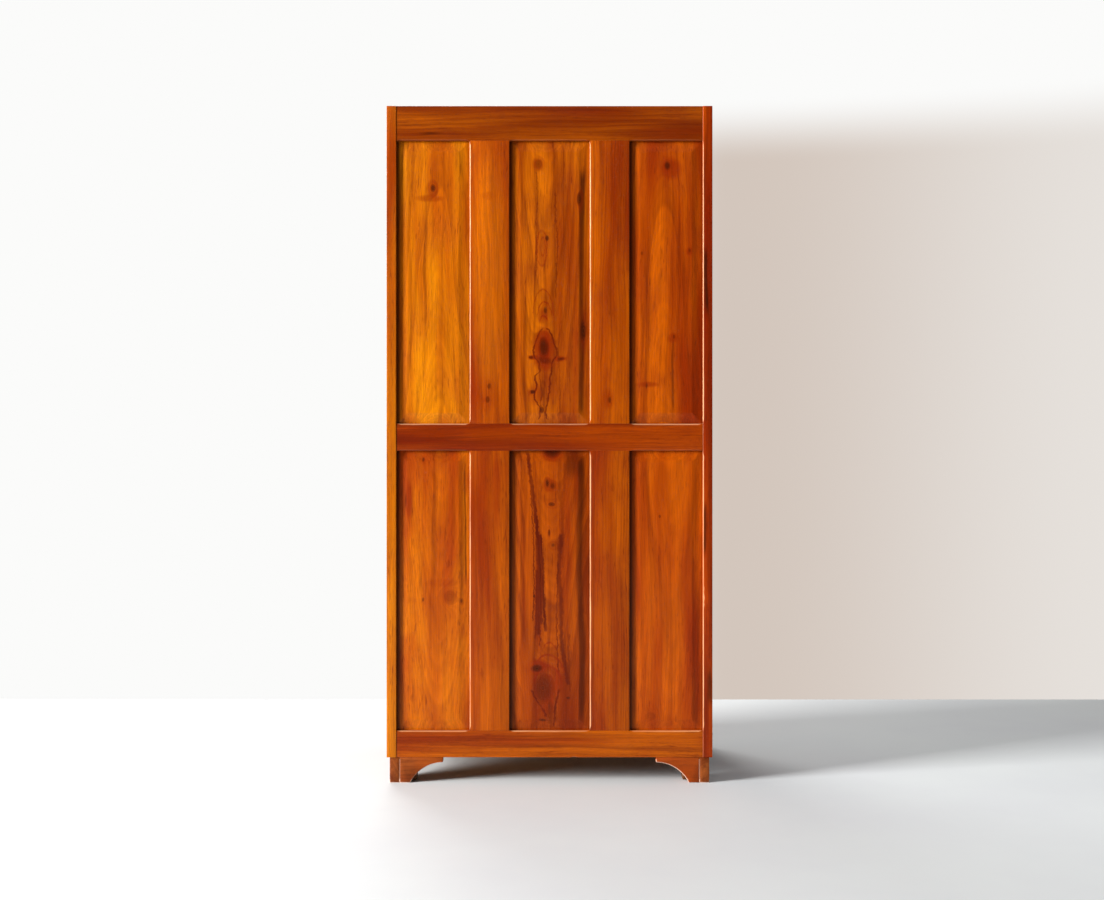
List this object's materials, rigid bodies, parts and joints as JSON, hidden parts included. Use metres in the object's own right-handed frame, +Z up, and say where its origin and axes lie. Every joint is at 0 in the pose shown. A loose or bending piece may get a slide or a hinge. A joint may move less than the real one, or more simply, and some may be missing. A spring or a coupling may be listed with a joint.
{
  "type": "wardrobe",
  "caption": "Two-door panelled hardwood wardrobe on bracket feet, with butt hinges, a cupboard lock and key, barrel bolts, a hat shelf and a hanging rod.",
  "frame": {"origin": "on the floor, under the middle of the overall box, door knobs included", "axes": "+Z up, the doors face -Y, +X to the right of somebody who faces the doors"},
  "size_m": [0.915, 0.5386, 1.9],
  "materials": {
    "teak_frame": "polished shellac",
    "teak_panel": "polished shellac",
    "inside_wood": "planed, unpolished",
    "brass": "aged satin",
    "steel": "dull"
  },
  "bodies": {
    "carcass": {"back_bottom_rail": "teak_frame", "back_left_post": "teak_frame", "back_lower_left_panel": "teak_panel", "back_lower_middle_panel": "teak_panel", "back_lower_right_panel": "teak_panel", "back_middle_rail": "teak_frame", "back_muntins": "teak_frame", "back_right_post": "teak_frame", "back_top_rail": "teak_frame", "back_upper_left_panel": "teak_panel", "back_upper_middle_panel": "teak_panel", "back_upper_right_panel": "teak_panel", "bolt_keeps": "brass", "bottom_board": "inside_wood", "foot_face_brackets": "teak_frame", "foot_glue_blocks": "inside_wood", "foot_side_brackets": "teak_frame", "frame_hinge_leaves": "brass", "frame_screws": "brass", "front_bottom_rail": "teak_frame", "front_left_post": "teak_frame", "front_right_post": "teak_frame", "front_top_rail": "teak_frame", "hanging_rod": "inside_wood", "hat_shelf": "inside_wood", "hinge_pins": "brass", "shelf_cleats": "inside_wood", "side_bottom_rails": "teak_frame", "side_lower_panels": "teak_panel", "side_middle_rails": "teak_frame", "side_top_rails": "teak_frame", "side_upper_panels": "teak_panel", "top_board": "teak_frame"},
    "left_door": {"bolt_plates": "brass", "left_door_bottom_rail": "teak_frame", "left_door_hinge_leaves": "brass", "left_door_hinge_stile": "teak_frame", "left_door_knob": "brass", "left_door_lower_panel": "teak_panel", "left_door_meeting_stile": "teak_frame", "left_door_middle_rail": "teak_frame", "left_door_screws": "brass", "left_door_top_rail": "teak_frame", "left_door_upper_panel": "teak_panel"},
    "right_door": {"escutcheon": "brass", "lock_case": "steel", "right_door_bottom_rail": "teak_frame", "right_door_hinge_leaves": "brass", "right_door_hinge_stile": "teak_frame", "right_door_knob": "brass", "right_door_lower_panel": "teak_panel", "right_door_meeting_stile": "teak_frame", "right_door_middle_rail": "teak_frame", "right_door_screws": "brass", "right_door_top_rail": "teak_frame", "right_door_upper_panel": "teak_panel"},
    "lock_bolt": {"lock_bolt": "steel"},
    "key": {"key": "steel"},
    "top_door_bolt": {"top_door_bolt": "brass"},
    "bottom_door_bolt": {"bottom_door_bolt": "brass"}
  },
  "joints": [
    {"name": "left_door_hinge", "type": "hinge", "parent": "carcass", "child": "left_door", "pos_m": [-0.42925, -0.24525, 0.9745], "axis": [0, 0, -1], "range_deg": [0, 180]},
    {"name": "right_door_hinge", "type": "hinge", "parent": "carcass", "child": "right_door", "pos_m": [0.42925, -0.24525, 0.9745], "axis": [0, 0, 1], "range_deg": [0, 180]},
    {"name": "key_turn", "type": "hinge", "parent": "right_door", "child": "key", "pos_m": [0.0255, -0.24, 0.97], "axis": [0, -1, 0], "range_deg": [0, 360]},
    {"name": "lock_bolt_slide", "type": "slide", "parent": "right_door", "child": "lock_bolt", "axis": [-1, 0, 0], "range_m": [0, 0.009]},
    {"name": "top_bolt_slide", "type": "slide", "parent": "left_door", "child": "top_door_bolt", "axis": [0, 0, 1], "range_m": [0, 0.018]},
    {"name": "bottom_bolt_slide", "type": "slide", "parent": "left_door", "child": "bottom_door_bolt", "axis": [0, 0, -1], "range_m": [0, 0.018]}
  ],
  "couplings": [
    {"joint": "key_turn", "follows": "lock_bolt_slide", "rad_per_m": 698.1}
  ]
}
